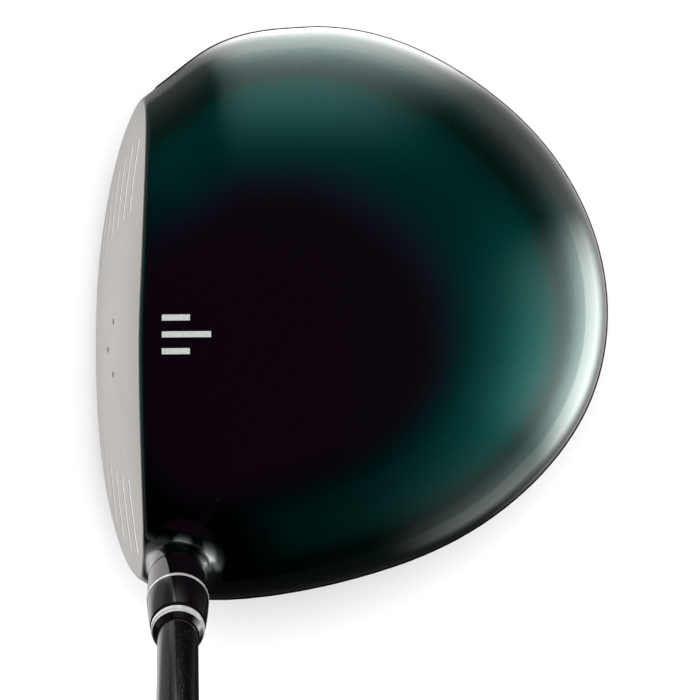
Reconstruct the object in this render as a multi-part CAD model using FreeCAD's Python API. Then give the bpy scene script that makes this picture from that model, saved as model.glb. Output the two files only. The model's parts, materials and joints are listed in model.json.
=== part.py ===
"""Golf driver: a hollow titanium head on a removable shaft.

The head is a welded shell (face plate, crown and sole body) round a hosel tube.  A splined sleeve on the
shaft tip drops into the hosel and is held by a screw that is reached through the sole.  A weight is screwed
into the back of the sole.  The shaft is a tapered carbon tube with a ferrule at the tip and a rubber grip
at the butt.

Frame, in millimetres: the origin is on the ground, at the flat of the sole.  +Z is up, the face looks
along -Y, the toe points along -X, and the shaft leans towards +X, where a right-handed player stands.
Lengths on the shaft are "stations": distances along the hosel axis from the hosel's top edge, positive
towards the butt.
"""
import FreeCAD, Part
import os
from math import cos, sin, radians

V = FreeCAD.Vector

# ---- head: plan outline of the widest line (X, Y), from the toe round the back to the heel and the face ----
OUTLINE = [(-71.2, 25.3), (-69.5, 41.8), (-61.5, 59.7), (-46.3, 77.7), (-27.3, 88.7), (-8.6, 92.0),
           (11.5, 87.9), (29.1, 75.4), (42.2, 57.4), (50.9, 33.3), (54.7, 10.5), (53.0, -6.5), (44.8, -18.3),
           (28.0, -28.5), (0.0, -32.5), (-30.0, -31.8), (-46.7, -20.7), (-58.6, -6.2), (-67.2, 5.6)]
OUTLINE_SAMPLES = 36
OUTLINE_MIDDLE = V(-5, 30, 0)
CROWN_CENTRE = (-4.0, 14.0)      # plan place of the crown's highest point
CROWN_TOP = 60.0
CROWN_POWER = 2.0                # superellipse power of the dome
SOLE_CENTRE = (-4.0, 2.0)
SOLE_POWER = 2.1                 # superellipse power of the sole
SOLE_FLAT = 0.12                 # share of the plan that is the flat rest on the ground
RING_STEPS = 9
CROWN_START, SOLE_END = 8.0, 10.0   # angles, in degrees, of the ring next to the crown's top and to the flat
PARTING_Z, PARTING_X_RISE, PARTING_Y_RISE = 37.5, 0.03, -0.07   # plane where crown and sole body meet
LIP = 0.3                        # the sole body's edge stands this far outside the crown's
WALL = 0.9

# ---- face ----
LOFT = 12.4
FACE_RADIUS = 305.0              # bulge and roll
FACE_CENTRE = V(0, -17.6, 32.5)
FACE_WALL = 3.0
FACE_EDGE_ROUND = 1.8
LINE_TOP_Z, LINE_PITCH = 43.0, 5.6
LINE_INNER = [29.1, 27.9, 26.4, 24.5, 22.2, 19.2]   # ends of the score lines, from the middle of the face
LINE_TOE_OUTER = [45.2, 44.4, 42.6, 39.8, 35.6, 29.2]
LINE_HEEL_OUTER = [45.2, 44.4, 42.2, 38.8, 33.4, 24.8]
LINE_WIDTH, LINE_DEPTH, LINE_RECESS = 1.2, 0.3, 0.06
DOT_PLACES = [(-5.8, 33.8), (0.0, 28.3), (5.8, 33.8)]
DOT_RADIUS = 0.7

# ---- crown mark ----
MARK_BARS = [(-3.6, 6.0), (0.0, 10.5), (3.6, 6.0)]   # place across the head and length of each bar
MARK_START_Y, MARK_WIDTH, MARK_X = -6.5, 1.3, -1.5
MARK_PROUD, MARK_SINK = 0.04, 0.2

# ---- hosel ----
LIE = 58.5
AXIS = V(cos(radians(LIE)), 0, sin(radians(LIE)))
RIM = V(50.35, -2.9, 54.43)      # centre of the hosel's top edge, station 0
STUB_RADIUS, STUB_FILLET = 6.35, 5.0
NECK_ZONE_RADIUS, NECK_ZONE_DEPTH = 9.2, 10.0
TUBE_RADIUS, BORE_RADIUS = 5.85, 5.15
SPLINE_DEPTH, BORE_DEPTH, WEB = 30.0, 36.5, 2.0
SPLINE_COUNT, SPLINE_ANGLE = 12, 14.0
SPLINE_ROOT = 4.6                # inside radius of the hosel's spline teeth
ACCESS_RADIUS, ACCESS_WALL = 4.9, 0.8

# ---- sleeve, ferrule and rings, by station ----
FIT = 0.05                       # radial clearance of running and screw fits
COLLAR_FOOT_RADIUS, COLLAR_RADIUS, COLLAR_GAP, COLLAR_END = 6.38, 6.52, 0.1, 8.67
SLEEVE_BOTTOM = -35.5
RING_END, RING_RADIUS = 9.42, 6.6
BARREL_END, GROOVE_END, TRIM_END, TAIL_END = 18.87, 19.97, 21.77, 22.97
BARREL_RADIUS, BARREL_TAPER, BARREL_CURVE = 6.52, 0.68, 1.6
GROOVE_RADIUS, TAIL_RADIUS = 5.3, 4.48
TRIM_LOW_RADIUS, TRIM_HIGH_RADIUS, TRIM_SEAT, TRIM_LOW_WIDTH, TRIM_HIGH_WIDTH = 5.66, 5.46, 4.9, 0.85, 0.65

# ---- shaft and grip ----
CLUB_LENGTH = 1162.0             # ground to butt, along the shaft
TIP_RADIUS, BUTT_RADIUS = 4.27, 7.6
TIP_WALL, BUTT_WALL = 1.4, 0.9
SHAFT_TIP = -27.0
TAPER_START = 24.67
GRIP_LENGTH, CAP_THICKNESS = 268.0, 4.0
GRIP_MOUTH_RADIUS, GRIP_BUTT_RADIUS, CAP_RADIUS = 9.8, 13.2, 13.6
TAPE = 0.3
VENT_RADIUS = 1.5

# ---- screws and weight ----
SCREW_RADIUS = 2.5               # M5
SCREW_HEAD_RADIUS, SCREW_HEAD_HEIGHT, SOCKET_RADIUS, SOCKET_DEPTH = 4.3, 3.6, 2.2, 2.2
WASHER_RADIUS, WASHER_THICKNESS = 4.6, 1.0
PORT_PLACE = V(-6.0, 70.0, 9.8)
PORT_TILT = 25.0
PORT_RADIUS, PORT_WALL, PORT_DEPTH = 9.1, 1.2, 7.2
PORT_FLOOR, PORT_BOSS_RADIUS, PORT_BOSS_DEPTH = 2.0, 4.4, 7.0
WEIGHT_RECESS, WEIGHT_SEAT = 1.3, 4.3

# ---- sole details ----
RIB_PLACES = [-34.0, -14.0, 6.0]
RIB_THICKNESS, RIB_TOP, RIB_START, RIB_LENGTH = 1.0, 6.5, 4.0, 46.0
BADGE_PLACE, BADGE_SIZE = (-8.0, 38.0), (40.0, 16.0)

PORT_AXIS = V(0, sin(radians(PORT_TILT)), -cos(radians(PORT_TILT)))
BUTT = CLUB_LENGTH - RIM.z / AXIS.z
ACCESS_FOOT = -RIM.z / AXIS.z - 12   # a station well below the sole
FACE_NORMAL = V(0, -cos(radians(LOFT)), sin(radians(LOFT)))


def save(name, shape):
    """Write one node, with its volume for a quick look."""
    shape.exportStep(os.path.join("parts", name + ".step"))
    print(name, len(shape.Solids), "solids", round(shape.Volume / 1000, 3), "cc", shape.isValid())


def at_station(station):
    return RIM + AXIS * station


def shaft_cylinder(radius, start, end):
    return Part.makeCylinder(radius, end - start, at_station(start), AXIS)


def shaft_turned(profile):
    """Solid of revolution about the shaft: profile is a closed list of (radius, station)."""
    side = V(AXIS.z, 0, -AXIS.x)
    corners = [at_station(station) + side * radius for radius, station in profile]
    face = Part.Face(Part.makePolygon(corners + corners[:1]))
    return face.revolve(RIM, AXIS, 360)


def shaft_tube(radius, bore, start, end):
    return shaft_cylinder(radius, start, end).cut(shaft_cylinder(bore, start - 1, end + 1))


def hexagon_socket(mouth, inward, depth):
    """Six-sided key socket that starts at mouth and runs inward."""
    across = V(1, 0, 0)
    across = across - inward * across.dot(inward)
    across.normalize()
    corners = []
    for k in range(7):
        turned = FreeCAD.Rotation(inward, 60 * k).multVec(across)
        corners.append(mouth + turned * SOCKET_RADIUS)
    return Part.Face(Part.makePolygon(corners)).extrude(inward * depth)


# ---- the head's master shape ----
def parting_z(x, y):
    return PARTING_Z + PARTING_X_RISE * x + PARTING_Y_RISE * y


def outline_points(outset):
    """The plan outline, moved outwards by outset, as points that are even in the curve's parameter."""
    curve = Part.BSplineCurve()
    curve.interpolate(Points=[V(x, y, 0) for x, y in OUTLINE], PeriodicFlag=True)
    first, last = curve.FirstParameter, curve.LastParameter
    points = []
    for i in range(OUTLINE_SAMPLES):
        u = first + (last - first) * i / OUTLINE_SAMPLES
        place = curve.value(u)
        tangent = curve.tangent(u)[0]
        outward = V(tangent.y, -tangent.x, 0)
        if outward.dot(place - OUTLINE_MIDDLE) < 0:
            outward = -outward
        points.append(place + outward * outset)
    return points


def section(points, centre, share, height, end_z):
    """Closed planar section: the outline at share of its size, lifted by height of the way to end_z."""
    cx, cy = centre
    places = [V(cx + share * (p.x - cx), cy + share * (p.y - cy),
                (1 - height) * parting_z(p.x, p.y) + height * end_z) for p in points]
    curve = Part.BSplineCurve()
    curve.interpolate(Points=places, PeriodicFlag=True)
    return Part.Wire(curve.toShape())


def pebble(outset, top, bottom):
    """The whole head as one closed solid, before the face is cut."""
    points = outline_points(outset)
    wires = []
    for k in range(RING_STEPS):
        a = radians(CROWN_START + (90 - CROWN_START) * k / RING_STEPS)
        share, height = sin(a) ** (2 / CROWN_POWER), cos(a) ** (2 / CROWN_POWER)
        wires.append(section(points, CROWN_CENTRE, share, height, top))
    for k in range(RING_STEPS):
        a = radians(90 - (90 - SOLE_END) * k / RING_STEPS)
        share, height = sin(a) ** (2 / SOLE_POWER), cos(a) ** (2 / SOLE_POWER)
        wires.append(section(points, SOLE_CENTRE, share, height, bottom))
    wires.append(section(points, SOLE_CENTRE, SOLE_FLAT, 1.0, bottom))
    return Part.makeLoft(wires, True)


def face_ball(radius):
    return Part.makeSphere(radius, FACE_CENTRE - FACE_NORMAL * FACE_RADIUS)


def beside_parting(direction):
    """Large block on one side of the parting plane: direction is 1 above it and -1 below it."""
    normal = V(-PARTING_X_RISE, -PARTING_Y_RISE, 1) * direction
    block = Part.makeBox(400, 400, 200, V(-200, -200, 0))
    block.Placement = FreeCAD.Placement(V(0, 0, PARTING_Z), FreeCAD.Rotation(V(0, 0, 1), normal))
    return block


def stub_foot(shape):
    """The edges where the hosel stub meets the head."""
    found = []
    for edge in shape.Edges:
        if edge.Curve.TypeId != "Part::GeomBSplineCurve":
            continue
        middle = edge.valueAt((edge.FirstParameter + edge.LastParameter) / 2)
        offset = middle - RIM
        if abs((offset - AXIS * offset.dot(AXIS)).Length - STUB_RADIUS) < 0.02:
            found.append(edge)
    return found


def head_outside(whole):
    """The outside of the finished head: face cut, face edge rounded, hosel stub added and blended in."""
    cut = whole.common(face_ball(FACE_RADIUS))
    face_edge = [edge for edge in cut.Edges if edge.BoundBox.YMax < 4]
    rounded = cut.makeFillet(FACE_EDGE_ROUND, face_edge)
    joined = rounded.fuse(shaft_cylinder(STUB_RADIUS, -BORE_DEPTH, 0))
    return joined.makeFillet(STUB_FILLET, stub_foot(joined))


# ---- head parts ----
def hosel_tube(body_solid):
    """Bore for the sleeve, web for the screw, spline teeth, and the access tube down to the sole."""
    bottom = -BORE_DEPTH - WEB
    access = shaft_cylinder(ACCESS_RADIUS + ACCESS_WALL, ACCESS_FOOT, bottom).common(body_solid)
    outside = shaft_cylinder(TUBE_RADIUS, bottom, 0).fuse(access)
    solid = outside.cut(shaft_cylinder(BORE_RADIUS, -BORE_DEPTH, 1))
    solid = solid.cut(shaft_cylinder(ACCESS_RADIUS, ACCESS_FOOT - 1, bottom))
    solid = solid.cut(shaft_cylinder(SCREW_RADIUS + FIT, bottom - 1, -BORE_DEPTH + 1))
    ring = shaft_tube(BORE_RADIUS + FIT, SPLINE_ROOT, -BORE_DEPTH, -SPLINE_DEPTH)
    return solid.fuse(ring.common(spline_wedges(180.0 / SPLINE_COUNT)))


def spline_wedges(turn):
    """Twelve wedges round the hosel axis, turned by an angle in degrees."""
    reach = 3 * BORE_RADIUS
    half = radians(SPLINE_ANGLE / 2)
    side = V(AXIS.z, 0, -AXIS.x)
    other = AXIS.cross(side)
    base = at_station(-BORE_DEPTH - 1)
    corners = [base, base + (side * cos(half) + other * sin(half)) * reach,
               base + (side * cos(half) - other * sin(half)) * reach]
    wedge = Part.Face(Part.makePolygon(corners + corners[:1])).extrude(AXIS * (BORE_DEPTH - SPLINE_DEPTH + 2))
    wedges = []
    for k in range(SPLINE_COUNT):
        one = wedge.copy()
        one.rotate(base, AXIS, turn + 360.0 * k / SPLINE_COUNT)
        wedges.append(one)
    return Part.makeCompound(wedges)


def hosel_room():
    """Room that the hosel tube takes in its neighbours."""
    bottom = -BORE_DEPTH - WEB
    access = shaft_cylinder(ACCESS_RADIUS + ACCESS_WALL, ACCESS_FOOT, bottom)
    return shaft_cylinder(TUBE_RADIUS, bottom, 5).fuse(access)


def face_marks(side, outer_ends):
    """The milled score lines on one side of the face, as bars that reach through its surface."""
    bars = []
    for k, (inner, outer) in enumerate(zip(LINE_INNER, outer_ends)):
        z = LINE_TOP_Z - LINE_PITCH * k
        low = inner if side > 0 else -outer
        bars.append(Part.makeBox(outer - inner, 40, LINE_WIDTH, V(low, -40, z - LINE_WIDTH / 2)))
    return Part.makeCompound(bars)


def face_dots():
    """Three round marks at the middle of the face, as rods that reach through its surface."""
    rods = [Part.makeCylinder(DOT_RADIUS, 40, V(x, -40, z), V(0, 1, 0)) for x, z in DOT_PLACES]
    return Part.makeCompound(rods)


def crown_mark(whole):
    """Three short bars that help to aim, let into the crown's paint."""
    bars = []
    for across, length in MARK_BARS:
        corner = V(MARK_X + across - MARK_WIDTH / 2, MARK_START_Y, 50)
        bars.append(Part.makeBox(MARK_WIDTH, length, 20, corner))
    solids = []
    for bar in bars:
        under_top = bar.common(whole.translated(V(0, 0, MARK_PROUD)))
        solids += under_top.cut(whole.translated(V(0, 0, -MARK_SINK))).Solids
    return Part.makeCompound(solids)


def sole_badge(body_solid, whole):
    """Blank plate let into the sole."""
    x, y = BADGE_PLACE
    length, width = BADGE_SIZE
    plan = Part.makeBox(length, width, 30, V(x - length / 2, y - width / 2, -5))
    corners = [edge for edge in plan.Edges if edge.BoundBox.ZLength > 20]
    plan = plan.makeFillet(width / 2.2, corners)
    return plan.common(body_solid).cut(whole.translated(V(0, 0, LIP)))


def sole_ribs(inside):
    """Stiffening ribs that stand on the inside of the sole."""
    ribs = []
    for x in RIB_PLACES:
        plate = Part.makeBox(RIB_THICKNESS, RIB_LENGTH, RIB_TOP, V(x, RIB_START, 0))
        ribs.append(plate.common(inside))
    return Part.makeCompound([solid for rib in ribs for solid in rib.Solids])


def port_cylinder(radius, start, end):
    """Cylinder on the weight port's axis; distances grow outwards from the sole's surface."""
    return Part.makeCylinder(radius, end - start, PORT_PLACE + PORT_AXIS * start, PORT_AXIS)


def weight_port(body_solid):
    floor = -PORT_DEPTH - PORT_FLOOR
    cup = port_cylinder(PORT_RADIUS + PORT_WALL, floor, 12).common(body_solid)
    boss = port_cylinder(PORT_BOSS_RADIUS, floor - PORT_BOSS_DEPTH, floor)
    solid = cup.fuse(boss).cut(port_cylinder(PORT_RADIUS, -PORT_DEPTH, 20))
    return solid.cut(port_cylinder(SCREW_RADIUS, floor - PORT_BOSS_DEPTH - 1, -PORT_DEPTH + 1))


def weight_disc():
    disc = port_cylinder(PORT_RADIUS - 0.1, -PORT_DEPTH + 0.02, -WEIGHT_RECESS)
    rim = [edge for edge in disc.Edges if edge.Length > 10 and edge.Curve.TypeId == "Part::GeomCircle"]
    disc = disc.makeChamfer(0.5, rim)
    disc = disc.cut(port_cylinder(SCREW_HEAD_RADIUS + 0.3, -WEIGHT_SEAT, 5))
    return disc.cut(port_cylinder(SCREW_RADIUS, -PORT_DEPTH - 1, 5))


def weight_screw():
    seat = -WEIGHT_SEAT + 0.02
    top = seat + 2.4
    head = port_cylinder(SCREW_HEAD_RADIUS, seat, top)
    head = head.makeChamfer(0.4, [edge for edge in head.Edges if edge.Curve.TypeId == "Part::GeomCircle"][:1])
    shank = port_cylinder(SCREW_RADIUS - FIT, -PORT_DEPTH - PORT_FLOOR - PORT_BOSS_DEPTH + 1, seat)
    socket = hexagon_socket(PORT_PLACE + PORT_AXIS * (top + 0.5), -PORT_AXIS, 2.1)
    return head.fuse(shank).cut(socket)


def hosel_screw():
    seat = -BORE_DEPTH - WEB - WASHER_THICKNESS - 0.06
    head = shaft_cylinder(SCREW_HEAD_RADIUS, seat - SCREW_HEAD_HEIGHT, seat)
    shank = shaft_cylinder(SCREW_RADIUS - FIT, seat, SLEEVE_BOTTOM + 6)
    socket = hexagon_socket(at_station(seat - SCREW_HEAD_HEIGHT - 0.5), AXIS, SOCKET_DEPTH + 0.5)
    return head.fuse(shank).cut(socket)


def screw_washer():
    top = -BORE_DEPTH - WEB - 0.03
    return shaft_tube(WASHER_RADIUS, SCREW_RADIUS, top - WASHER_THICKNESS, top)


def screw_retainer():
    """Small ring on the screw above the web, which keeps the screw in the head."""
    return shaft_tube(3.7, SCREW_RADIUS - FIT, -BORE_DEPTH + 0.1, SLEEVE_BOTTOM - 0.1)


# ---- shaft parts ----
def adapter_sleeve():
    bore = TIP_RADIUS + 0.04
    body = shaft_turned([(bore, SHAFT_TIP - 0.5), (bore, COLLAR_END), (COLLAR_RADIUS - 0.15, COLLAR_END),
                         (COLLAR_RADIUS, COLLAR_END - 0.3), (COLLAR_FOOT_RADIUS, 0.5),
                         (COLLAR_FOOT_RADIUS - 0.35, COLLAR_GAP),
                         (BORE_RADIUS - FIT, COLLAR_GAP), (BORE_RADIUS - FIT, -SPLINE_DEPTH + 0.4),
                         (SPLINE_ROOT - FIT, -SPLINE_DEPTH + 0.1), (SPLINE_ROOT - FIT, SLEEVE_BOTTOM),
                         (SCREW_RADIUS, SLEEVE_BOTTOM), (SCREW_RADIUS, SHAFT_TIP - 0.5)])
    teeth = shaft_tube(BORE_RADIUS - 0.12, SPLINE_ROOT - 0.3, SLEEVE_BOTTOM, -SPLINE_DEPTH + 0.2)
    return body.fuse(teeth.common(spline_wedges(0)))


def collar_ring():
    return shaft_tube(RING_RADIUS, TIP_RADIUS + 0.04, COLLAR_END, RING_END)


def ferrule():
    """Barrel that narrows towards the shaft, a groove, a seat for the trim rings, and a tapered tail."""
    bore = TIP_RADIUS + 0.04
    steps = 10
    barrel = []
    for k in range(steps + 1):
        share = k / steps
        radius = BARREL_RADIUS - BARREL_TAPER * share ** BARREL_CURVE
        barrel.append((radius, RING_END + (BARREL_END - RING_END) * share))
    neck = [(GROOVE_RADIUS, BARREL_END + 0.15), (GROOVE_RADIUS, GROOVE_END), (TRIM_SEAT, GROOVE_END),
            (TRIM_SEAT, TRIM_END)]
    tail = [(TRIM_HIGH_RADIUS - 0.12, TRIM_END), (TAIL_RADIUS, TAIL_END)]
    return shaft_turned([(bore, RING_END)] + barrel + neck + tail + [(bore, TAIL_END)])


def ferrule_rings():
    """Two thin metal rings with a fine gap between them."""
    lower = shaft_tube(TRIM_LOW_RADIUS, TRIM_SEAT, GROOVE_END, GROOVE_END + TRIM_LOW_WIDTH)
    upper = shaft_tube(TRIM_HIGH_RADIUS, TRIM_SEAT, TRIM_END - TRIM_HIGH_WIDTH, TRIM_END)
    return Part.makeCompound([lower, upper])


def shaft_radius(station):
    if station < TAPER_START:
        return TIP_RADIUS
    share = (station - TAPER_START) / (BUTT - CAP_THICKNESS - TAPER_START)
    return TIP_RADIUS + (BUTT_RADIUS - TIP_RADIUS) * share


def shaft():
    end = BUTT - CAP_THICKNESS
    return shaft_turned([(TIP_RADIUS, SHAFT_TIP), (TIP_RADIUS, TAPER_START), (BUTT_RADIUS, end),
                         (BUTT_RADIUS - BUTT_WALL, end), (TIP_RADIUS - TIP_WALL, TAPER_START),
                         (TIP_RADIUS - TIP_WALL, SHAFT_TIP)])


def tip_plug():
    return shaft_cylinder(TIP_RADIUS - TIP_WALL, SHAFT_TIP, SHAFT_TIP + 9)


def grip_tape():
    start = BUTT - GRIP_LENGTH + 3
    end = BUTT - CAP_THICKNESS
    low, high = shaft_radius(start), shaft_radius(end)
    return shaft_turned([(low, start), (low + TAPE, start), (high + TAPE, end), (high, end)])


def grip():
    start = BUTT - GRIP_LENGTH
    end = BUTT - CAP_THICKNESS
    low, high = shaft_radius(start) + TAPE, shaft_radius(end) + TAPE
    return shaft_turned([(low, start), (GRIP_MOUTH_RADIUS - 0.6, start), (GRIP_MOUTH_RADIUS, start + 0.8),
                         (GRIP_MOUTH_RADIUS + 1.0, start + 110), (GRIP_BUTT_RADIUS, end), (high, end)])


def grip_cap():
    start = BUTT - CAP_THICKNESS
    return shaft_turned([(VENT_RADIUS, start), (GRIP_BUTT_RADIUS, start), (CAP_RADIUS, start + 0.8),
                         (CAP_RADIUS, BUTT - 1.2), (CAP_RADIUS - 1.2, BUTT), (VENT_RADIUS, BUTT)])


def build_head():
    whole = pebble(0.0, CROWN_TOP, LIP)
    body_solid = pebble(LIP, CROWN_TOP, 0.0)
    inside = pebble(-WALL, CROWN_TOP - WALL, LIP + WALL)
    outside = head_outside(whole)
    print("head volume", round(outside.Volume / 1000, 1), "cc")
    behind_face = face_ball(FACE_RADIUS - FACE_WALL)
    neck_zone = shaft_cylinder(NECK_ZONE_RADIUS, -NECK_ZONE_DEPTH, 5).common(beside_parting(1))
    tube_room = hosel_room()

    mark = crown_mark(whole)
    crown = outside.common(beside_parting(1)).common(behind_face.fuse(neck_zone))
    crown = crown.cut(inside.common(behind_face)).cut(tube_room).cut(mark)
    save("crown", crown)
    save("alignment_mark", mark)

    line_floor = face_ball(FACE_RADIUS - LINE_DEPTH)
    line_level = face_ball(FACE_RADIUS - LINE_RECESS)
    plate = outside.cut(behind_face).cut(neck_zone).cut(tube_room)
    for name, cutter in (("toe_score_lines", face_marks(-1, LINE_TOE_OUTER)),
                         ("heel_score_lines", face_marks(1, LINE_HEEL_OUTER)),
                         ("face_dots", face_dots())):
        plate = plate.cut(cutter.cut(line_floor))
        save(name, cutter.common(line_level).cut(line_floor))
    save("face_plate", plate)

    badge = sole_badge(body_solid, whole)
    port_room = port_cylinder(PORT_RADIUS + PORT_WALL, -PORT_DEPTH - PORT_FLOOR, 12)
    sole = body_solid.common(beside_parting(-1)).common(behind_face)
    sole = sole.cut(inside).cut(tube_room).cut(port_room).cut(badge)
    save("sole_body", sole)
    save("sole_badge", badge)
    save("sole_ribs", sole_ribs(inside))
    save("hosel_tube", hosel_tube(body_solid))
    save("weight_port", weight_port(body_solid))


def build_fastenings():
    save("weight_disc", weight_disc())
    save("weight_screw", weight_screw())
    save("hosel_screw", hosel_screw())
    save("screw_washer", screw_washer())
    save("screw_retainer", screw_retainer())


def build_shaft():
    save("adapter_sleeve", adapter_sleeve())
    save("collar_ring", collar_ring())
    save("ferrule", ferrule())
    save("ferrule_rings", ferrule_rings())
    save("shaft", shaft())
    save("tip_plug", tip_plug())
    save("grip_tape", grip_tape())
    save("grip", grip())
    save("grip_cap", grip_cap())


os.makedirs("parts", exist_ok=True)
build_head()
build_fastenings()
build_shaft()
print("butt station", round(BUTT, 2), "butt centre", at_station(BUTT))
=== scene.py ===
import json
from math import cos, sin, radians, pi

import bpy
from mathutils import Matrix, Vector

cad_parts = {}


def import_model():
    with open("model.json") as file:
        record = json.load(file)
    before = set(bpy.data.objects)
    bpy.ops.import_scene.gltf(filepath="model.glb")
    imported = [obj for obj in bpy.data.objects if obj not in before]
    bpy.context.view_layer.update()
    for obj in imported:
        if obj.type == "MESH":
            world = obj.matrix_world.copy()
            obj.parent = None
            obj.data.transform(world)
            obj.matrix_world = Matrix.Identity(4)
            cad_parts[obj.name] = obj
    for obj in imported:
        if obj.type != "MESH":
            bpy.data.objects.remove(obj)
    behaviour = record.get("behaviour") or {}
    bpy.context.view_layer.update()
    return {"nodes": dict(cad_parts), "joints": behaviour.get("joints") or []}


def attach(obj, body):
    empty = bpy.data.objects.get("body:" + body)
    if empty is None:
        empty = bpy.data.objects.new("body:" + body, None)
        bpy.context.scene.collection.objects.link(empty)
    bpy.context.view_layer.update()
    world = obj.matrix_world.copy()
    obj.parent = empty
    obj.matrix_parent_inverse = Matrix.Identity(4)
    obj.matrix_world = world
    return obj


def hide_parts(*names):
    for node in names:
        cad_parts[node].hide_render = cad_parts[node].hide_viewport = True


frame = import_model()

node = frame["nodes"]
joint = {j["name"]: j for j in frame["joints"]}

# ---- the hosel's axis and top edge, and the weight's axis, from the record's joints ----
SHAFT_AXIS = Vector(joint["sleeve_index"]["axis"]).normalized()
HOSEL_TOP = Vector(joint["sleeve_index"]["pos_m"])
PORT_AXIS = Vector(joint["weight_screw_turn"]["axis"]).normalized()
PORT_PLACE = Vector(joint["weight_screw_turn"]["pos_m"])

# ---- the face: a ball of this radius touches the face's middle ----
LOFT = radians(12.4)
FACE_RADIUS = 0.305
FACE_MIDDLE = Vector((0, -0.0176, 0.0325))
FACE_BALL = FACE_MIDDLE - Vector((0, -cos(LOFT), sin(LOFT))) * FACE_RADIUS

# ---- camera: straight above the hosel, turned a little towards the head ----
EYE = Vector((0.0497, -0.0033, 0.850))
LOOK_AT = Vector((-0.0018, 0.0364, 0.0))
LENS, SENSOR = 191.1, 36.0

# ---- studio: a side is its compass direction, and the cosines where its light starts and is full ----
TOE_SIDE = ((-0.996, 0.087), 0.85, 1.02)
REAR_SIDE = ((0.05, 0.999), 0.86, 1.0)
REAR_HEEL_SIDE = ((0.5, 0.866), 0.80, 1.0)
REAR_SHARE, REAR_HEEL_SHARE = 0.9, 0.17
CORNER_SIDE = ((-0.6, 0.8), 0.1, 0.8)
FRONT_SIDE = ((0.0, -1.0), 0.2, 0.95)
# world: strength at the horizon, height where it ends, and the power by which it falls
WORLD_TOE = (4.2, 0.85, 1.5)
WORLD_REAR = (7.0, 0.85, 1.95)
WORLD_CORNER = (0.5, 0.4, 1.3)
WORLD_FRONT = (0.6, 0.6, 1.5)
WORLD_COLOUR = (0.97, 0.99, 1.0)
SKY_COLOUR, SKY_START, SKY_FULL = (0.10, 0.022, 0.085), 0.78, 0.90
# cards: strength, and the distances from the head's middle where they start and are full
CARD_TOE = (5.0, 0.07, 0.11)
CARD_REAR = (10.2, 0.09, 0.18)
CARD_CORNER, CARD_LEAST = 0.6, 0.03
CARD_COLOUR, HEAD_MIDDLE_Y = (1.0, 0.965, 0.95, 1), 0.025
# front card: each is where a change starts and ends, along Y and then along X, and its two values
FRONT_RISE = (-0.004, -0.040, 0.0, 1.32)
FRONT_FALL = (-0.051, -0.070, 0.0, -0.85)
FRONT_HEEL_END = (0.11, 0.06, 0.0, 1.0)
FRONT_TOE_END = (-0.085, -0.055, 0.5, 1.0)
FLOOR_SIZE, FLOOR_DROP, REFLECTOR_RADIUS, REFLECTOR_DROP = 12, 0.0002, 5.0, 0.0001
OVERHEAD_HEIGHT, OVERHEAD_SIZE, OVERHEAD_POWER = 1.6, 2.6, 66.0

# ---- screws: M5 x 0.8, with the sizes that the CAD nodes don't show ----
THREAD_PITCH, THREAD_CORE, RINGS_PER_TURN, SCREW_STEPS = 0.0008, 0.00201, 12, 48
CREST_HEIGHT, FLANK_SLOPE = 1.35, 3.2      # share of the thread's depth, and its fall per turn
SCREW_HEAD_CLEAR = 0.0033                  # a radius between the shank's and the head's
SCREW_TIP, PLAIN_SHANK, HEAD_CHAMFER = (0.0002, 0.0003), 0.0016, 0.0004
SOCKET_RADIUS, SOCKET_DEPTH, COUNTERSINK = 0.0022, 0.0021, 0.00025

# ---- grip: bands of crossing grooves between plain rings ----
GRIP_STEPS, GRIP_RINGS, GRIP_LIP, GROOVE_DEPTH = 160, 400, 0.0004, 0.00035
GROOVE_TURNS, GROOVE_LEAD, GROOVE_WIDTH = 10, 0.012, 0.11
BAND_START, BAND_LENGTH, BAND_SHARE, BAND_EDGE = 0.012, 0.046, 0.40, 12
RING_PLACE, RING_WIDTH = 0.46, 0.012       # shares of a band's length
PLAIN_BUTT, PLAIN_LAST_RING = 0.014, 0.008


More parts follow.
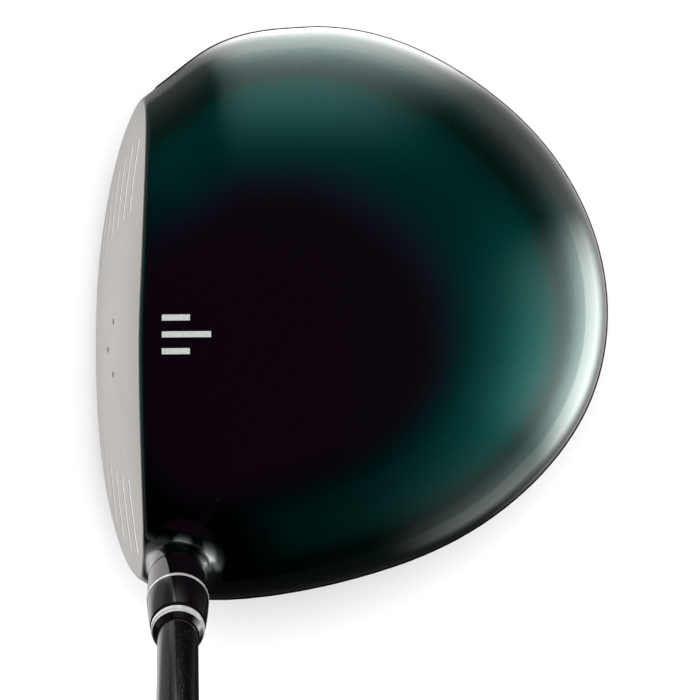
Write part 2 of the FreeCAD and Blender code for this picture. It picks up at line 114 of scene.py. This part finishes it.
# ---- node helpers ----
class Graph:
    """Short calls for building one node tree."""

    def __init__(self, tree):
        self.tree = tree

    def add(self, kind, inputs=None, **settings):
        made = self.tree.nodes.new(kind)
        for name, value in settings.items():
            setattr(made, name, value)
        for name, value in (inputs or {}).items():
            self.put(made.inputs[name], value)
        return made

    def put(self, socket, value):
        if isinstance(value, bpy.types.NodeSocket):
            self.tree.links.new(value, socket)
        else:
            socket.default_value = value

    def math(self, operation, a, b=0.0, c=0.0, clamp=False):
        made = self.tree.nodes.new("ShaderNodeMath")
        made.operation = operation
        made.use_clamp = clamp
        for socket, value in zip(made.inputs, (a, b, c)):
            self.put(socket, value)
        return made.outputs[0]

    def vector(self, operation, a, b=(0, 0, 0)):
        made = self.tree.nodes.new("ShaderNodeVectorMath")
        made.operation = operation
        self.put(made.inputs[0], a)
        self.put(made.inputs[1], b)
        return made.outputs["Value" if operation in ("DOT_PRODUCT", "LENGTH", "DISTANCE") else "Vector"]

    def product(self, a, b):
        return self.math("MULTIPLY", a, b)

    def sum(self, a, b):
        return self.math("ADD", a, b)

    def tint(self, colour, strength):
        """A colour times a strength."""
        made = self.vector("SCALE", colour)
        self.put(made.node.inputs["Scale"], strength)
        return made

    def length(self, x, y):
        return self.math("SQRT", self.sum(self.product(x, x), self.product(y, y)))

    def remap(self, value, low, high, to_low=0.0, to_high=1.0):
        """Moves smoothly from to_low to to_high as the value goes from low to high."""
        made = self.tree.nodes.new("ShaderNodeMapRange")
        made.interpolation_type = "SMOOTHSTEP"
        limits = {"From Min": low, "From Max": high, "To Min": to_low, "To Max": to_high}
        for name, number in limits.items():
            made.inputs[name].default_value = number
        self.put(made.inputs["Value"], value)
        return made.outputs["Result"]

    def mix(self, factor, a, b):
        made = self.tree.nodes.new("ShaderNodeMix")
        made.data_type = "RGBA"
        self.put(made.inputs["Factor"], factor)
        self.put(made.inputs["A"], a)
        self.put(made.inputs["B"], b)
        return made.outputs["Result"]

    def coords(self, name="Object"):
        return self.tree.nodes.new("ShaderNodeTexCoord").outputs[name]

    def stretched(self, scale):
        return self.add("ShaderNodeMapping", {"Vector": self.coords(), "Scale": scale}).outputs["Vector"]

    def noise(self, vector, scale, detail=3.0, rough=0.5):
        inputs = {"Vector": vector, "Scale": scale, "Detail": detail, "Roughness": rough}
        return self.add("ShaderNodeTexNoise", inputs).outputs["Fac"]

    def cells(self, scale):
        """One random number for each small cell."""
        made = self.add("ShaderNodeTexVoronoi", {"Vector": self.coords(), "Scale": scale})
        return self.add("ShaderNodeSeparateColor", {"Color": made.outputs["Color"]}).outputs[0]

    def along(self, start, axis):
        """Distance from start along an axis, in metres."""
        return self.vector("DOT_PRODUCT", self.vector("SUBTRACT", self.coords(), tuple(start)), tuple(axis))

    def across(self, start, axis):
        """Distance from the line through start along an axis, in metres."""
        offset = self.vector("SUBTRACT", self.coords(), tuple(start))
        return self.vector("LENGTH", self.vector("CROSS_PRODUCT", offset, tuple(axis)))


def shade(colour, share):
    return tuple(c * share for c in colour) + (1,)


def material(name, **sockets):
    """A new Principled material and its graph and shader."""
    made = bpy.data.materials.new(name)
    made.use_nodes = True
    graph = Graph(made.node_tree)
    shader = made.node_tree.nodes["Principled BSDF"]
    for label, value in sockets.items():
        shader.inputs[label.replace("_", " ")].default_value = value
    return made, graph, shader


def bump(graph, shader, height, strength, distance):
    made = graph.add("ShaderNodeBump", {"Height": height, "Strength": strength, "Distance": distance})
    graph.put(shader.inputs["Normal"], made.outputs["Normal"])


# ---- materials of the head ----
def pearl(g):
    """Colour and roughness of a dark green flip pearl, which shows at a slant and not near the hosel."""
    flake = g.math("POWER", g.cells(9000.0), 2.0)
    colour = g.mix(flake, (0.0006, 0.105, 0.087, 1), (0.0015, 0.185, 0.158, 1))
    slant = g.add("ShaderNodeLayerWeight", {"Blend": 0.5}).outputs["Facing"]
    rise = g.remap(slant, 0.027, 0.072)
    fall = g.remap(slant, 0.09, 0.22, 1.0, 0.10)
    away_from_hosel = g.remap(g.across(HOSEL_TOP, SHAFT_AXIS), 0.013, 0.026)
    flip = g.product(g.product(rise, fall), away_from_hosel)
    return g.mix(flip, (0.0003, 0.009, 0.0075, 1), colour), g.math("MULTIPLY_ADD", flake, -0.04, 0.36)


def crown_paint():
    made, g, s = material("crown_paint", Metallic=1.0, Coat_Weight=1.0, Coat_Roughness=0.05, Coat_IOR=1.5)
    colour, roughness = pearl(g)
    g.put(s.inputs["Base Color"], colour)
    g.put(s.inputs["Roughness"], roughness)
    return made


def gloss_black(name, base=(0.0035, 0.0022, 0.0033), rough=0.3, fleck=0.0):
    """Gloss black under a clear coat, with sparse pale flecks where fleck is above 0."""
    made, g, s = material(name, Coat_Weight=1.0, Coat_Roughness=0.03, Coat_IOR=1.4, Specular_IOR_Level=0.0)
    depth = g.noise(g.coords(), 900.0)
    colour = g.mix(depth, shade(base, 0.8), shade(base, 1.3))
    if fleck > 0:
        rare = g.remap(g.cells(5200.0), 0.965, 1.0)
        colour = g.mix(g.product(rare, fleck), colour, (0.35, 0.3, 0.28, 1))
    g.put(s.inputs["Base Color"], colour)
    g.put(s.inputs["Roughness"], g.remap(depth, 0.3, 0.7, rough - 0.04, rough + 0.04))
    return made


def face_metal():
    """Satin titanium, brushed from heel to toe, with the crown's paint on the rounded edge round the face."""
    made, g, s = material("face_titanium", Metallic=1.0, Coat_Roughness=0.05, Coat_IOR=1.5)
    paint, paint_roughness = pearl(g)
    grain = g.noise(g.stretched((60, 3200, 3200)), 1.0, 4.0, 0.65)
    patch = g.noise(g.coords(), 160.0, 2.0)
    metal = g.mix(g.remap(grain, 0.3, 0.7), (0.33, 0.325, 0.31, 1), (0.47, 0.465, 0.445, 1))
    metal = g.mix(g.remap(patch, 0.35, 0.65, 0.0, 0.25), metal, (0.34, 0.335, 0.325, 1))
    outward = g.vector("NORMALIZE", g.vector("SUBTRACT", g.coords(), tuple(FACE_BALL)))
    on_face = g.remap(g.vector("DOT_PRODUCT", outward, g.coords("Normal")), 0.975, 0.993)
    painted = g.math("SUBTRACT", 1.0, on_face)
    satin = g.remap(grain, 0.3, 0.7, 0.30, 0.42)
    g.put(s.inputs["Base Color"], g.mix(on_face, paint, metal))
    g.put(s.inputs["Coat Weight"], painted)
    g.put(s.inputs["Roughness"], g.math("MULTIPLY_ADD", g.math("SUBTRACT", satin, paint_roughness), on_face,
                                        paint_roughness))
    bump(g, s, g.product(grain, on_face), 0.2, 0.00002)
    return made


def brushed(name, colour, rough):
    made, g, s = material(name, Metallic=1.0, Anisotropic=0.5)
    grain = g.noise(g.stretched((18, 2600, 2600)), 1.0, 4.0, 0.65)
    g.put(s.inputs["Base Color"], g.mix(g.remap(grain, 0.3, 0.7), shade(colour, 0.8), shade(colour, 1.0)))
    g.put(s.inputs["Roughness"], g.remap(grain, 0.3, 0.7, rough - 0.06, rough + 0.06))
    bump(g, s, grain, 0.25, 0.00003)
    return made


def turned(name, colour, start, axis, pitch=0.00035, rough=0.3, rings=False):
    """Metal with a lathe's fine marks: along an axis, or as rings on a face across it."""
    made, g, s = material(name, Metallic=1.0)
    place = g.across(start, axis) if rings else g.along(start, axis)
    wave = g.math("SINE", g.product(place, 2 * pi / pitch))
    wave = g.math("MULTIPLY_ADD", wave, 0.5, 0.5)
    stain = g.noise(g.coords(), 420.0, 4.0, 0.6)
    marks = g.math("MULTIPLY_ADD", wave, 0.35, g.product(stain, 0.65))
    g.put(s.inputs["Base Color"], g.mix(marks, shade(colour, 0.7), shade(colour, 1.05)))
    g.put(s.inputs["Roughness"], g.remap(stain, 0.3, 0.7, rough - 0.07, rough + 0.1))
    bump(g, s, wave, 0.3, 0.00002)
    return made


def plain(name, colour, rough, metallic=0.0, scale=700.0, relief=0.0):
    made, g, s = material(name, Metallic=metallic)
    grain = g.noise(g.coords(), scale, 4.0)
    g.put(s.inputs["Base Color"], g.mix(g.remap(grain, 0.3, 0.7), shade(colour, 0.82), shade(colour, 1.0)))
    g.put(s.inputs["Roughness"], g.remap(grain, 0.3, 0.7, rough - 0.06, rough + 0.06))
    if relief > 0:
        bump(g, s, grain, 0.4, relief)
    return made


# ---- materials of the shaft ----
def sleeve_finish():
    """Anodised aluminium: gloss black collar, and satin grey with lathe marks inside the hosel."""
    made, g, s = material("sleeve_black", Coat_Weight=1.0, Coat_Roughness=0.04, Coat_IOR=1.7,
                          Specular_IOR_Level=0.0)
    station = g.along(HOSEL_TOP, SHAFT_AXIS)
    collar = g.remap(station, 0.0, 0.0002)
    wave = g.math("MULTIPLY_ADD", g.math("SINE", g.product(station, 2 * pi / 0.0004)), 0.5, 0.5)
    satin = g.mix(wave, (0.10, 0.10, 0.105, 1), (0.17, 0.17, 0.175, 1))
    g.put(s.inputs["Base Color"], g.mix(collar, satin, (0.0035, 0.0022, 0.0033, 1)))
    g.put(s.inputs["Metallic"], g.math("SUBTRACT", 1.0, collar))
    g.put(s.inputs["Roughness"], g.remap(collar, 0.0, 1.0, 0.38, 0.12))
    return made


def paper_tape():
    """Cream paper tape, wound in a slow spiral."""
    made, g, s = material("tape_paper")
    fibre = g.noise(g.coords(), 2500.0, 5.0, 0.7)
    edge = g.math("FRACT", g.math("DIVIDE", g.along(HOSEL_TOP, SHAFT_AXIS), 0.019))
    colour = g.mix(fibre, (0.55, 0.52, 0.42, 1), (0.72, 0.69, 0.58, 1))
    g.put(s.inputs["Base Color"], g.mix(g.remap(edge, 0.0, 0.05), (0.4, 0.37, 0.3, 1), colour))
    s.inputs["Roughness"].default_value = 0.85
    return made


def grip_rubber():
    """Matt black rubber with a fine skin and slightly paler wear in scattered patches."""
    made, g, s = material("grip_rubber", Sheen_Weight=0.15, Sheen_Roughness=0.4)
    skin = g.noise(g.coords(), 3800.0, 5.0, 0.7)
    wear = g.noise(g.coords(), 55.0, 3.0)
    colour = g.mix(skin, (0.012, 0.012, 0.0125, 1), (0.026, 0.026, 0.027, 1))
    g.put(s.inputs["Base Color"], g.mix(g.remap(wear, 0.45, 0.75, 0.0, 0.5), colour, (0.04, 0.04, 0.041, 1)))
    g.put(s.inputs["Roughness"], g.remap(skin, 0.3, 0.7, 0.62, 0.8))
    bump(g, s, skin, 0.35, 0.00008)
    return made


def dress(materials):
    for name, made in materials.items():
        slots = node[name].data.materials
        slots.clear()
        slots.append(made)


screw_steel = turned("screw_steel", (0.30, 0.30, 0.32), HOSEL_TOP, SHAFT_AXIS, 0.0005, 0.28)
port_steel = turned("port_screw_steel", (0.30, 0.30, 0.32), PORT_PLACE, PORT_AXIS, 0.0005, 0.28, True)
hosel_metal = turned("hosel_titanium", (0.48, 0.47, 0.45), HOSEL_TOP, SHAFT_AXIS)
port_metal = turned("port_titanium", (0.48, 0.47, 0.45), PORT_PLACE, PORT_AXIS, rings=True)
rubber = grip_rubber()
silver = plain("ring_silver", (0.80, 0.80, 0.80), 0.24, 0.55, 240.0)
score_white = plain("score_paint", (0.84, 0.84, 0.82), 0.5, relief=0.00002)

dress({
    "crown": crown_paint(),
    "alignment_mark": plain("silver_decal", (0.37, 0.40, 0.37), 0.4, 0.0, 1800.0),
    "sole_body": gloss_black("body_paint", rough=0.25),
    "face_plate": face_metal(),
    "toe_score_lines": score_white,
    "heel_score_lines": score_white,
    "face_dots": plain("dot_paint", (0.03, 0.03, 0.03), 0.5),
    "sole_badge": brushed("badge_metal", (0.34, 0.36, 0.37), 0.3),
    "sole_ribs": plain("bare_titanium", (0.42, 0.41, 0.39), 0.42, 1.0, 500.0, 0.00003),
    "hosel_tube": hosel_metal,
    "weight_port": port_metal,
    "weight_disc": turned("tungsten", (0.36, 0.36, 0.37), PORT_PLACE, PORT_AXIS, 0.0006, 0.34, True),
    "weight_screw": port_steel,
    "hosel_screw": screw_steel,
    "screw_washer": screw_steel,
    "screw_retainer": plain("retainer_rubber", (0.015, 0.015, 0.015), 0.55),
    "adapter_sleeve": sleeve_finish(),
    "collar_ring": silver,
    "ferrule": gloss_black("ferrule_black", rough=0.2),
    "ferrule_rings": silver,
    "shaft": gloss_black("shaft_graphite", (0.003, 0.0022, 0.0028), 0.35, 0.16),
    "tip_plug": plain("plug_plastic", (0.6, 0.58, 0.5), 0.5, relief=0.00004),
    "grip_tape": paper_tape(),
    "grip": rubber,
    "grip_cap": rubber,
})


# ---- screws with real threads, and the grip's moulded pattern ----
def skin(name, body, stands_for, slot, paint, start, axis, rings, steps, closed=False):
    """One skin through rings about an axis; a ring is its station and its radius at an angle.
    A closed skin joins its last ring to its first, and an open one ends in two caps."""
    side = axis.orthogonal().normalized()
    points = []
    for station, radius in rings:
        for k in range(steps):
            angle = 2 * pi * k / steps
            outward = Matrix.Rotation(angle, 3, axis) @ side
            points.append(start + axis * station + outward * radius(angle))
    faces = []
    for low in range(len(rings) if closed else len(rings) - 1):
        high = (low + 1) % len(rings)
        for k in range(steps):
            beside = (k + 1) % steps
            faces.append((low * steps + k, low * steps + beside, high * steps + beside, high * steps + k))
    if not closed:
        last = (len(rings) - 1) * steps
        points += [start + axis * rings[0][0], start + axis * rings[-1][0]]
        for k in range(steps):
            beside = (k + 1) % steps
            faces.append((len(points) - 2, beside, k))
            faces.append((len(points) - 1, last + k, last + beside))
    mesh = bpy.data.meshes.new(name)
    mesh.from_pydata(points, [], faces)
    mesh.polygons.foreach_set("use_smooth", [True] * len(faces))
    mesh.set_sharp_from_angle(angle=radians(35))
    mesh.materials.append(paint)
    made = bpy.data.objects.new(name, mesh)
    bpy.context.scene.collection.objects.link(made)
    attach(made, body)
    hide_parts(stands_for)


def reach(name, start, axis):
    """Station along an axis and distance from it, for each corner of a CAD node."""
    found = []
    for corner in node[name].data.vertices:
        offset = corner.co - start
        station = offset.dot(axis)
        found.append((station, (offset - axis * station).length))
    return found


def round_ring(station, radius):
    return station, lambda angle: radius


def hexagon_ring(station, corner_radius):
    """A six-sided ring with its corners at multiples of 60 degrees."""
    return station, lambda angle: corner_radius * cos(pi / 6) / cos(angle % (pi / 3) - pi / 6)


def thread_ring(station, crest, share):
    """One ring of a right-hand thread; share is how much of the thread's depth is cut here."""
    def radius(angle):
        turn = (station / THREAD_PITCH - angle / (2 * pi)) % 1.0
        height = min(1.0, max(0.0, CREST_HEIGHT - FLANK_SLOPE * abs(turn - 0.5)))
        return crest - (crest - THREAD_CORE) * share * (1 - height)
    return station, radius


def threaded_screw(name, body, slot, paint, place, joint_axis):
    """A cap screw of the CAD node's own size, with a helical M5 thread and a key socket."""
    measured = reach(name, place, joint_axis)
    crest = max(r for s, r in measured if r < SCREW_HEAD_CLEAR)
    head = [s for s, r in measured if r > SCREW_HEAD_CLEAR]
    head_is_last = max(head) >= max(s for s, r in measured) - 1e-5
    outward = joint_axis if head_is_last else -joint_axis
    measured = reach(name, place, outward)
    tip = min(s for s, r in measured)
    seat = min(s for s, r in measured if r > SCREW_HEAD_CLEAR)
    top = max(s for s, r in measured)
    width = max(r for s, r in measured)
    cut_from, cut_to = tip + SCREW_TIP[1], seat - PLAIN_SHANK
    rings = [round_ring(tip, THREAD_CORE - SCREW_TIP[0]), round_ring(cut_from, THREAD_CORE)]
    count = int((cut_to - cut_from) / THREAD_PITCH * RINGS_PER_TURN)
    for k in range(1, count):
        station = cut_from + (cut_to - cut_from) * k / count
        fade_in = min(1.0, (station - cut_from) / THREAD_PITCH)
        fade_out = min(1.0, (cut_to - station) / THREAD_PITCH)
        limit = THREAD_CORE + (crest - THREAD_CORE) * fade_in
        rings.append(thread_ring(station, limit, fade_out))
    rings += [round_ring(cut_to, crest), round_ring(seat, crest), round_ring(seat, width),
              round_ring(top - HEAD_CHAMFER, width), round_ring(top, width - HEAD_CHAMFER),
              round_ring(top, SOCKET_RADIUS + COUNTERSINK),
              hexagon_ring(top - COUNTERSINK, SOCKET_RADIUS),
              hexagon_ring(top - SOCKET_DEPTH, SOCKET_RADIUS)]
    skin(name + "_threaded", body, name, slot, paint, place, outward, rings, SCREW_STEPS)


def size_at(measured, station, pick):
    """The smallest or the largest radius at one end of a measured node."""
    return pick(r for s, r in measured if abs(s - station) < GRIP_LIP)


def groove(angle, station):
    """Depth, from 0 to 1, of one set of slanting grooves."""
    place = (angle * GROOVE_TURNS / (2 * pi) + station / GROOVE_LEAD) % 1.0
    return max(0.0, 1.0 - abs(place - 0.5) / GROOVE_WIDTH)


def grip_ring(station, start, end, mouth, butt):
    """One ring of the grip's outside: a taper, less the grooves and the plain rings between the bands."""
    base = mouth + (butt - mouth) * (station - start) / (end - start)
    band = (station - start - BAND_START) / BAND_LENGTH
    from_middle = abs(band % 1.0 - 0.5)
    patterned = min(1.0, max(0.0, (BAND_SHARE - from_middle) * BAND_EDGE))
    around = max(0.0, 1.0 - abs(from_middle - RING_PLACE) / RING_WIDTH)
    if band < 0 or station > end - PLAIN_BUTT:
        patterned = 0.0
    if band < 0 or station > end - PLAIN_LAST_RING:
        around = 0.0

    def radius(angle):
        cut = max(groove(angle, station), groove(angle, -station))
        return base - GROOVE_DEPTH * max(cut * patterned, around)
    return station, radius


def grip_rings():
    """The grip's outside from its mouth to the cap, and then its bore."""
    measured = reach("grip", HOSEL_TOP, SHAFT_AXIS)
    start, end = min(s for s, r in measured), max(s for s, r in measured)
    mouth, butt = size_at(measured, start, max), size_at(measured, end, max)
    rings = [round_ring(start, mouth - GRIP_LIP)]
    for k in range(GRIP_RINGS):
        station = start + GRIP_LIP + (end - start - GRIP_LIP) * k / GRIP_RINGS
        rings.append(grip_ring(station, start, end, mouth, butt))
    rings += [round_ring(end, butt), round_ring(end, size_at(measured, end, min)),
              round_ring(start, size_at(measured, start, min))]
    return rings


for screw_name, screw_body, steel, place, axis in (
        ("hosel_screw", "hosel_fastener", screw_steel, HOSEL_TOP, SHAFT_AXIS),
        ("weight_screw", "weight_fastener", port_steel, PORT_PLACE, PORT_AXIS)):
    threaded_screw(screw_name, screw_body, "screw_steel", steel, place, axis)
skin("grip_patterned", "shaft_assembly", "grip", "grip_rubber", rubber, HOSEL_TOP, SHAFT_AXIS,
     grip_rings(), GRIP_STEPS, closed=True)


# ---- studio ----
def floor():
    bpy.ops.mesh.primitive_plane_add(size=FLOOR_SIZE, location=(0, 0, -FLOOR_DROP))
    made = bpy.context.object
    made.name = "floor"
    paint, _, _ = material("floor_paper", Base_Color=(0.9, 0.9, 0.9, 1), Roughness=0.95,
                           Specular_IOR_Level=0.0)
    made.data.materials.append(paint)


def sector(g, x, y, towards, start, full):
    """1 towards a compass direction, fading to 0 at its sides."""
    facing = g.sum(g.product(x, towards[0]), g.product(y, towards[1]))
    cosine = g.math("DIVIDE", facing, g.math("MAXIMUM", g.length(x, y), 0.001))
    return g.remap(cosine, start, full)


def rear_sector(g, x, y):
    """Mostly straight behind, and a little towards the heel."""
    straight = g.product(sector(g, x, y, *REAR_SIDE), REAR_SHARE)
    heelward = g.product(sector(g, x, y, *REAR_HEEL_SIDE), REAR_HEEL_SHARE)
    return g.sum(straight, heelward)


def low_light(g, side, z, strength, top, power):
    """A side's light: strongest at the horizon, falling smoothly to 0 at the height top."""
    share = g.math("SUBTRACT", 1.0, g.math("DIVIDE", g.math("MAXIMUM", z, 0.0), top), clamp=True)
    return g.product(g.product(side, strength), g.math("POWER", share, power))


def world():
    """Soft light low at the toe, at the back and, weaker, in front, and almost none overhead."""
    made = bpy.data.worlds.new("studio")
    bpy.context.scene.world = made
    made.use_nodes = True
    g = Graph(made.node_tree)
    x, y, z = g.add("ShaderNodeSeparateXYZ", {"Vector": g.coords("Generated")}).outputs
    toe = low_light(g, sector(g, x, y, *TOE_SIDE), z, *WORLD_TOE)
    rear = low_light(g, rear_sector(g, x, y), z, *WORLD_REAR)
    corner = low_light(g, sector(g, x, y, *CORNER_SIDE), z, *WORLD_CORNER)
    front = low_light(g, sector(g, x, y, *FRONT_SIDE), z, *WORLD_FRONT)
    glow = g.tint(WORLD_COLOUR, g.sum(g.sum(toe, rear), g.sum(corner, front)))
    sky = g.tint(SKY_COLOUR, g.remap(z, SKY_START, SKY_FULL))
    g.put(made.node_tree.nodes["Background"].inputs["Color"], g.vector("ADD", glow, sky))


def card(g, side, distance, strength, start, full):
    """A bright card on one side, which starts at a distance from the head's middle."""
    return g.product(g.product(side, strength), g.remap(distance, start, full))


def reflector():
    """Cards on the table that only reflections see: bright at the toe, the back and the front."""
    bpy.ops.mesh.primitive_circle_add(vertices=64, radius=REFLECTOR_RADIUS, fill_type="NGON",
                                      location=(0, 0, -REFLECTOR_DROP))
    made = bpy.context.object
    made.name = "reflector"
    paint = bpy.data.materials.new("reflector")
    paint.use_nodes = True
    tree = paint.node_tree
    tree.nodes.remove(tree.nodes["Principled BSDF"])
    g = Graph(tree)
    x, y, _ = g.add("ShaderNodeSeparateXYZ", {"Vector": g.coords()}).outputs
    behind = g.math("SUBTRACT", y, HEAD_MIDDLE_Y)
    distance = g.length(x, behind)
    toe = card(g, sector(g, x, behind, *TOE_SIDE), distance, *CARD_TOE)
    rear = card(g, rear_sector(g, x, behind), distance, *CARD_REAR)
    corner = g.math("MULTIPLY_ADD", sector(g, x, behind, *CORNER_SIDE), CARD_CORNER, CARD_LEAST)
    front = g.sum(g.remap(y, *FRONT_RISE), g.remap(y, *FRONT_FALL))
    front_ends = g.product(g.remap(x, *FRONT_HEEL_END), g.remap(x, *FRONT_TOE_END))
    light = g.math("MULTIPLY_ADD", front, front_ends, g.sum(g.sum(toe, rear), corner))
    shine = g.add("ShaderNodeEmission", {"Color": CARD_COLOUR, "Strength": light})
    g.put(tree.nodes["Material Output"].inputs["Surface"], shine.outputs[0])
    made.data.materials.append(paint)
    made.visible_camera = made.visible_diffuse = made.visible_shadow = False


def overhead_light():
    """One large soft light straight above, which reflections don't show."""
    data = bpy.data.lights.new("overhead", "AREA")
    data.shape = "RECTANGLE"
    data.size = data.size_y = OVERHEAD_SIZE
    data.energy = OVERHEAD_POWER
    made = bpy.data.objects.new("overhead", data)
    bpy.context.scene.collection.objects.link(made)
    made.location = (0, 0, OVERHEAD_HEIGHT)
    made.rotation_euler = Vector((0, 0, -1)).to_track_quat("-Z", "Y").to_euler()
    made.visible_glossy = False


def camera():
    data = bpy.data.cameras.new("camera")
    made = bpy.data.objects.new("camera", data)
    bpy.context.scene.collection.objects.link(made)
    bpy.context.scene.camera = made
    data.lens, data.sensor_width = LENS, SENSOR
    data.clip_start, data.clip_end = 0.01, 50.0
    forward = (LOOK_AT - EYE).normalized()
    up = Vector((-1, 0, 0))
    right = forward.cross(up).normalized()
    up = right.cross(forward)
    made.matrix_world = Matrix(((right.x, up.x, -forward.x, EYE.x), (right.y, up.y, -forward.y, EYE.y),
                                (right.z, up.z, -forward.z, EYE.z), (0, 0, 0, 1)))


floor()
reflector()
world()
overhead_light()
camera()
bpy.context.scene.view_settings.view_transform = "Standard"
